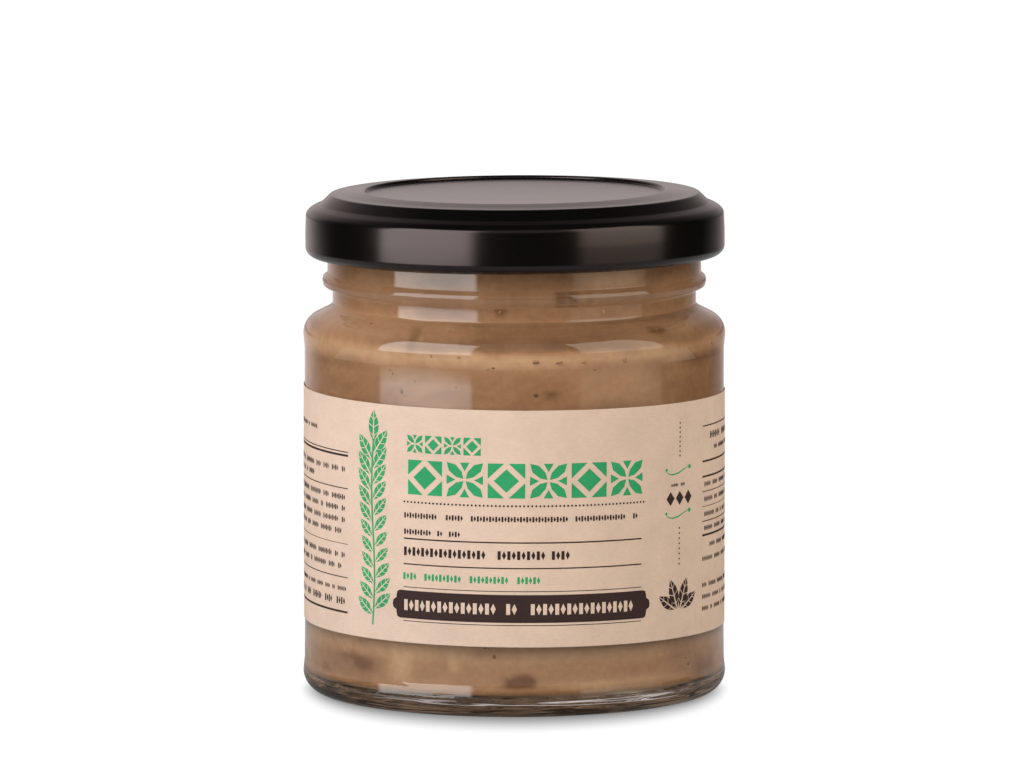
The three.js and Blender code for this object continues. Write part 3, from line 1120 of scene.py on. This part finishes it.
def white_board(s):
    """Matt white board in even studio light. It glows instead of being lit, so that it is as
    white as the backdrop and has one soft shadow."""
    material = bpy.data.materials.new("white_board")
    tree = blank(material)
    place = node(tree, "ShaderNodeTexCoord").outputs["Object"]
    path = node(tree, "ShaderNodeLightPath")
    strength = node(tree, "ShaderNodeMix", {
        0: path.outputs["Is Camera Ray"], 2: bounced(tree, place, s.bounce),
        3: shadow(tree, place)})
    glow = node(tree, "ShaderNodeEmission", {
        "Color": caustics(tree, place), "Strength": strength.outputs[0]})
    node(tree, "ShaderNodeOutputMaterial", {"Surface": glow.outputs[0]})
    return material


class BABA_OT_studio(bpy.types.Operator):
    """Set the white table, the softboxes, the fill, the dark room and the camera."""
    bl_idname = "baba.studio"
    bl_label = "Studio"

    def execute(self, context):
        s = context.scene.baba_studio
        self.table(s)
        softbox("softbox_left", azimuth=-50, distance=0.6, width=0.66, low=-0.05, high=0.78,
                brightness=s.key)
        softbox("softbox_right", azimuth=61, distance=0.6, width=0.62, low=-0.09, high=0.9,
                brightness=s.second, foot=0.25, tint=(1, 0.93, 0.8, 1))
        lamp("right_fill", (0.8, -0.35, 0.35), size=0.4, power=s.side)
        lamp("front_fill", (0.1, -1.0, 0.9), size=1.0, power=s.fill, mirrored=True)
        lamp("top_light", (0, 0.1, 0.9), size=0.7, power=s.top)
        self.room(s)
        self.camera(context)
        return {"FINISHED"}

    def table(self, s):
        """A round white board, bright as the backdrop, with the soft shadow of the jar."""
        clear()
        bpy.ops.mesh.primitive_circle_add(vertices=128, radius=0.3, fill_type="NGON",
                                          location=(0, 0, 0))
        board = bpy.context.object
        board.name = "white_board"
        bpy.ops.object.mode_set(mode="EDIT")
        bpy.ops.mesh.extrude_region_move(TRANSFORM_OT_translate={"value": (0, 0, -0.01)})
        bpy.ops.object.mode_set(mode="OBJECT")
        board.data.materials.append(white_board(s))

    def room(self, s):
        """A dark room with a pale backdrop behind the jar, and plain white for the camera."""
        world = bpy.data.worlds.new("dark_room")
        bpy.context.scene.world = world
        tree = blank(world)
        way = node(tree, "ShaderNodeTexCoord").outputs["Generated"]
        parts = node(tree, "ShaderNodeSeparateXYZ", {0: way})
        # The backdrop fades towards the ceiling, towards the camera and to both sides.
        lit = 1.0
        for axis, dark, bright, edge in (("Z", 0.88, 0.05, "LINEAR"),
                                         ("Y", 0.0, 0.15, "SMOOTHSTEP"),
                                         ("X", -0.9, -0.4, "SMOOTHSTEP"),
                                         ("X", 0.8, 0.0, "LINEAR")):
            part = node(tree, "ShaderNodeMapRange", {
                "Value": parts.outputs[axis], "From Min": dark, "From Max": bright},
                interpolation_type=edge)
            lit = node(tree, "ShaderNodeMath", {0: lit, 1: part.outputs[0]},
                       operation="MULTIPLY").outputs[0]
        # Between the table's far edge and the backdrop there is a dark gap.
        above = node(tree, "ShaderNodeMath", {0: parts.outputs["Z"], 1: 0.015}).outputs[0]
        away = node(tree, "ShaderNodeMath", {0: above}, operation="ABSOLUTE").outputs[0]
        gap = node(tree, "ShaderNodeMapRange", {
            "Value": away, "From Min": 0.02, "From Max": 0.045, "To Min": 0.45}).outputs[0]
        lit = node(tree, "ShaderNodeMath", {0: lit, 1: gap}, operation="MULTIPLY").outputs[0]
        tone = node(tree, "ShaderNodeMix", {
            SHARE: lit, COLOUR_A: (0.006, 0.0055, 0.005, 1), COLOUR_B: s.backdrop},
            data_type="RGBA")
        seen = node(tree, "ShaderNodeBackground", {"Color": tone.outputs[MIXED]})
        white = node(tree, "ShaderNodeBackground", {"Color": (1.02, 1.02, 1.02, 1)})
        path = node(tree, "ShaderNodeLightPath")
        mixed = node(tree, "ShaderNodeMixShader", {
            0: path.outputs["Is Camera Ray"], 1: seen.outputs[0], 2: white.outputs[0]})
        node(tree, "ShaderNodeOutputWorld", {"Surface": mixed.outputs[0]})

    def camera(self, context):
        """A long lens in front of the jar and a little above it."""
        clear()
        bpy.ops.object.camera_add(location=CAMERA_PLACE,
                                  rotation=(math.pi / 2 - CAMERA_TILT, 0, 0))
        camera = context.object
        camera.name = "product_camera"
        camera.data.sensor_width = 36
        camera.data.lens = CAMERA_LENS
        camera.data.shift_x = PICTURE_SHIFT / PICTURE_WIDTH
        camera.data.clip_start = 0.01
        camera.data.clip_end = 20
        context.scene.camera = camera
        context.scene.view_settings.view_transform = "Standard"


class BABA_PT_panel(bpy.types.Panel):
    """Lists the jar's pieces and their settings."""
    bl_idname = "BABA_PT_panel"
    bl_label = "Baba Ganoush"
    bl_space_type = "VIEW_3D"
    bl_region_type = "UI"
    bl_category = "Baba Ganoush"

    def draw(self, context):
        for kind, settings in STEPS:
            box = self.layout.box()
            box.operator(kind.bl_idname)
            if settings:
                for name in SETTINGS[settings].__annotations__:
                    box.prop(getattr(context.scene, settings), name)


SETTINGS = {"baba_glass": BabaGlass, "baba_puree": BabaPuree, "baba_label": BabaLabel,
            "baba_lid": BabaLid, "baba_studio": BabaStudio}
STEPS = [(BABA_OT_jar, "baba_glass"), (BABA_OT_puree, "baba_puree"), (BABA_OT_flecks, None),
         (BABA_OT_label, "baba_label"), (BABA_OT_lid, "baba_lid"),
         (BABA_OT_studio, "baba_studio")]


def register():
    """Register the classes, and give the scene their settings."""
    for group in SETTINGS.values():
        bpy.utils.register_class(group)
    for operator, _ in STEPS:
        bpy.utils.register_class(operator)
    bpy.utils.register_class(BABA_PT_panel)
    for name, group in SETTINGS.items():
        setattr(bpy.types.Scene, name, PointerProperty(type=group))


def unregister():
    """Take back all that register did."""
    for name in SETTINGS:
        delattr(bpy.types.Scene, name)
    bpy.utils.unregister_class(BABA_PT_panel)
    for operator, _ in STEPS:
        bpy.utils.unregister_class(operator)
    for group in SETTINGS.values():
        bpy.utils.unregister_class(group)


def main():
    """Build the jar piece by piece, then the stage."""
    register()
    bpy.ops.baba.jar()
    bpy.ops.baba.puree()
    bpy.ops.baba.flecks()
    bpy.ops.baba.label()
    bpy.ops.baba.lid()
    bpy.ops.baba.studio()


if __name__ == "__main__":
    main()
